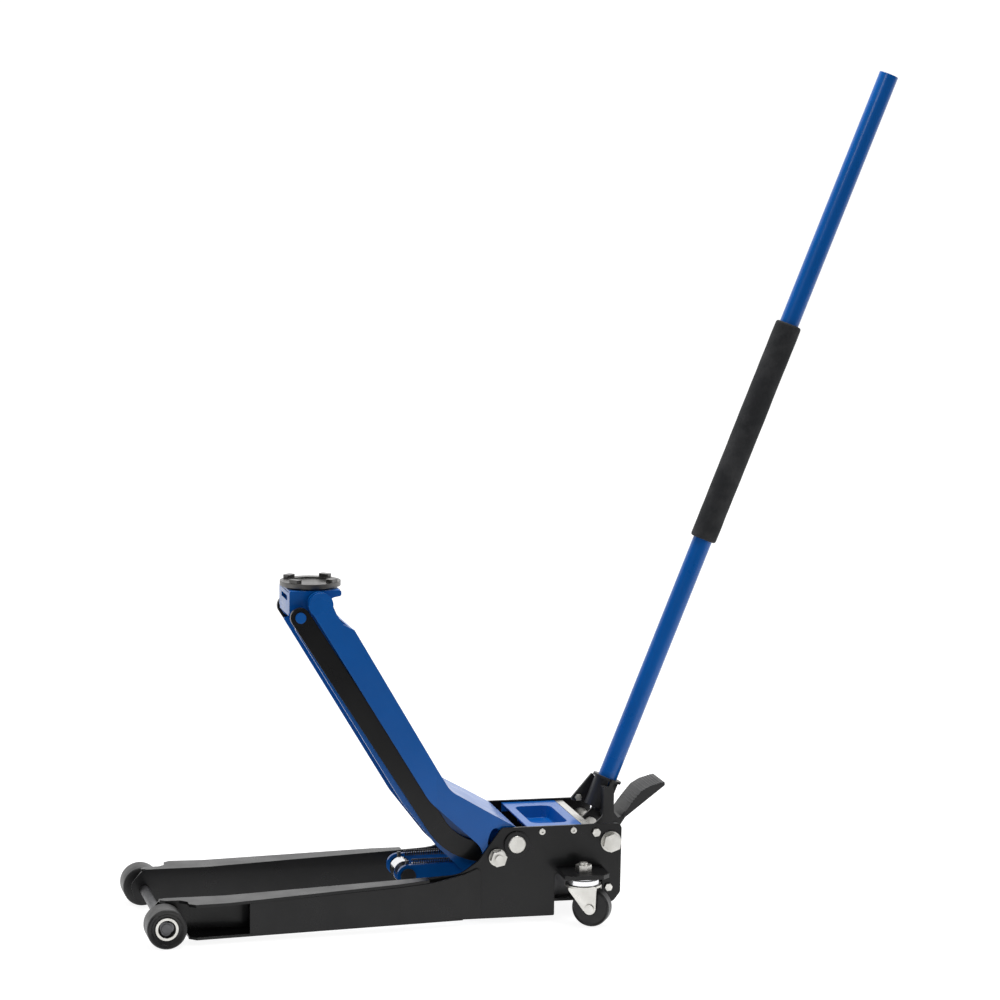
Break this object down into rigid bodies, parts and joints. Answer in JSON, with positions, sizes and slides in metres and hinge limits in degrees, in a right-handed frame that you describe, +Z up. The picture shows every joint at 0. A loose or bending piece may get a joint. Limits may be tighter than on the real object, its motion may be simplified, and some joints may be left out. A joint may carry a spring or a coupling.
{
  "type": "trolley_jack",
  "caption": "Low-profile hydraulic trolley jack with a raised parallel-link arm, swivel saddle, tool tray, rear casters, foot pedal and a long foam-gripped handle",
  "frame": {"origin": "on the floor under the middle of the outer box, arm raised", "axes": "X runs from the front wheels to the handle, Y across the jack to the far side, Z up"},
  "size_m": [1.1062, 0.294, 1.2043],
  "materials": {
    "gloss_blue_paint": "gloss",
    "gloss_black_paint": "gloss",
    "grey_paint": "satin",
    "dark_steel": "dark",
    "bare_steel": "satin",
    "spring_steel": "dark",
    "zinc": "plated",
    "chrome": "polished",
    "black_nylon": "matt",
    "black_rubber": "matt",
    "foam": "foam"
  },
  "bodies": {
    "chassis": {"side_plate_near": "gloss_black_paint", "side_plate_far": "gloss_black_paint", "outer_panel_near": "gloss_black_paint", "outer_panel_far": "gloss_black_paint", "front_axle": "dark_steel", "axle_spacers": "dark_steel", "axle_nuts": "dark_steel", "base_plate": "gloss_black_paint", "rear_cross_plate": "gloss_black_paint", "main_pin": "zinc", "pin_bosses": "gloss_black_paint", "link_studs": "zinc", "link_nuts": "zinc", "tool_tray": "gloss_blue_paint", "tray_screws": "zinc", "tray_bar": "zinc", "frame_bolts": "zinc", "pump_block": "dark_steel", "ram_cylinder": "dark_steel", "cylinder_gland": "dark_steel", "filler_plug": "black_rubber", "spring_anchor": "dark_steel", "return_springs": "spring_steel", "caster_shelves": "gloss_black_paint", "caster_races": "chrome", "caster_bolts": "zinc", "handle_bolts": "zinc"},
    "front_wheel_near_body": {"front_wheel_near": "black_nylon", "hub_ring_near": "zinc"},
    "front_wheel_far_body": {"front_wheel_far": "black_nylon", "hub_ring_far": "zinc"},
    "ram": {"ram_rod": "chrome", "crosshead_pin": "dark_steel"},
    "drag": {"drag_links": "gloss_blue_paint"},
    "arm": {"arm_plates": "gloss_blue_paint", "arm_cover": "gloss_blue_paint", "arm_sleeve": "gloss_blue_paint", "arm_cross_tube": "gloss_blue_paint", "lobe_pins": "dark_steel", "head_pin": "dark_steel"},
    "links": {"radius_links": "gloss_black_paint"},
    "bracket": {"saddle_bracket": "gloss_blue_paint", "link_head_pins": "gloss_blue_paint"},
    "saddle": {"saddle_plate": "bare_steel", "saddle_washer": "zinc"},
    "caster_near": {"caster_fork_near": "zinc", "caster_axle_near": "zinc"},
    "caster_far": {"caster_fork_far": "zinc", "caster_axle_far": "zinc"},
    "caster_near_roller": {"caster_wheel_near": "black_nylon"},
    "caster_far_roller": {"caster_wheel_far": "black_nylon"},
    "socket": {"handle_socket": "grey_paint", "fin_bolt": "zinc", "pump_roller": "dark_steel", "pedal_pin": "dark_steel"},
    "handle": {"handle_tube": "gloss_blue_paint", "foam_grip": "foam"},
    "piston": {"pump_piston": "chrome"},
    "spindle": {"release_spindle": "dark_steel"},
    "pedal": {"foot_pedal": "grey_paint"}
  },
  "joints": [
    {"name": "arm_lift", "type": "hinge", "parent": "chassis", "child": "arm", "pos_m": [-0.01911, 0, 0.114], "axis": [0, 1, 0], "range_deg": [-58.5, 0]},
    {"name": "radius_link_swing", "type": "hinge", "parent": "chassis", "child": "links", "pos_m": [-0.04711, 0, 0.096], "axis": [0, 1, 0], "range_deg": [-58.5, 0]},
    {"name": "saddle_bracket_level", "type": "hinge", "parent": "arm", "child": "bracket", "pos_m": [-0.29711, 0, 0.46], "axis": [0, 1, 0], "range_deg": [0, 58.5]},
    {"name": "saddle_swivel", "type": "hinge", "parent": "bracket", "child": "saddle", "pos_m": [-0.30111, 0, 0.48], "axis": [0, 0, 1], "continuous": true},
    {"name": "ram_slide", "type": "slide", "parent": "chassis", "child": "ram", "axis": [1, 0, 0], "range_m": [0, 0.0608], "deforming": ["return_springs"]},
    {"name": "drag_link_swing", "type": "hinge", "parent": "ram", "child": "drag", "pos_m": [-0.16511, 0, 0.062], "axis": [0, 1, 0], "range_deg": [0, 3.2]},
    {"name": "front_wheel_near_spin", "type": "hinge", "parent": "chassis", "child": "front_wheel_near_body", "pos_m": [-0.52511, -0.126, 0.028], "axis": [0, 1, 0], "continuous": true},
    {"name": "front_wheel_far_spin", "type": "hinge", "parent": "chassis", "child": "front_wheel_far_body", "pos_m": [-0.52511, 0.126, 0.028], "axis": [0, 1, 0], "continuous": true},
    {"name": "caster_near_swivel", "type": "hinge", "parent": "chassis", "child": "caster_near", "pos_m": [0.07189, -0.118, 0.062], "axis": [0, 0, 1], "continuous": true},
    {"name": "caster_far_swivel", "type": "hinge", "parent": "chassis", "child": "caster_far", "pos_m": [0.07189, 0.118, 0.062], "axis": [0, 0, 1], "continuous": true},
    {"name": "caster_near_roll", "type": "hinge", "parent": "caster_near", "child": "caster_near_roller", "pos_m": [0.08326, -0.1243, 0.027], "axis": [0.4848, 0.8746, 0], "continuous": true},
    {"name": "caster_far_roll", "type": "hinge", "parent": "caster_far", "child": "caster_far_roller", "pos_m": [0.08326, 0.1243, 0.027], "axis": [-0.4848, 0.8746, 0], "continuous": true},
    {"name": "handle_pump", "type": "hinge", "parent": "chassis", "child": "socket", "pos_m": [0.11889, 0, 0.112], "axis": [0, 1, 0], "range_deg": [-5, 50]},
    {"name": "handle_twist", "type": "hinge", "parent": "socket", "child": "handle", "pos_m": [0.10749, 0, 0.112], "axis": [0.3697, 0, 0.9291], "range_deg": [-90, 90]},
    {"name": "pump_stroke", "type": "slide", "parent": "chassis", "child": "piston", "axis": [1, 0, 0], "range_m": [-0.0245, 0.0026]},
    {"name": "release_turn", "type": "hinge", "parent": "chassis", "child": "spindle", "pos_m": [0.10749, 0, 0.112], "axis": [0.3697, 0, 0.9291], "range_deg": [-90, 90]},
    {"name": "pedal_press", "type": "hinge", "parent": "socket", "child": "pedal", "pos_m": [0.14089, 0, 0.122], "axis": [0, 1, 0], "range_deg": [0, 25], "stiffness_Nm_per_rad": 4, "springref_deg": -28.65}
  ],
  "couplings": [
    {"joint": "radius_link_swing", "follows": "arm_lift", "ratio": 1},
    {"joint": "saddle_bracket_level", "follows": "arm_lift", "ratio": -1},
    {"joint": "ram_slide", "follows": "arm_lift", "m_per_rad": -0.05893},
    {"joint": "drag_link_swing", "follows": "arm_lift", "ratio": -0.053},
    {"joint": "pump_stroke", "follows": "handle_pump", "m_per_rad": -0.028},
    {"joint": "release_turn", "follows": "handle_twist", "ratio": 1}
  ]
}
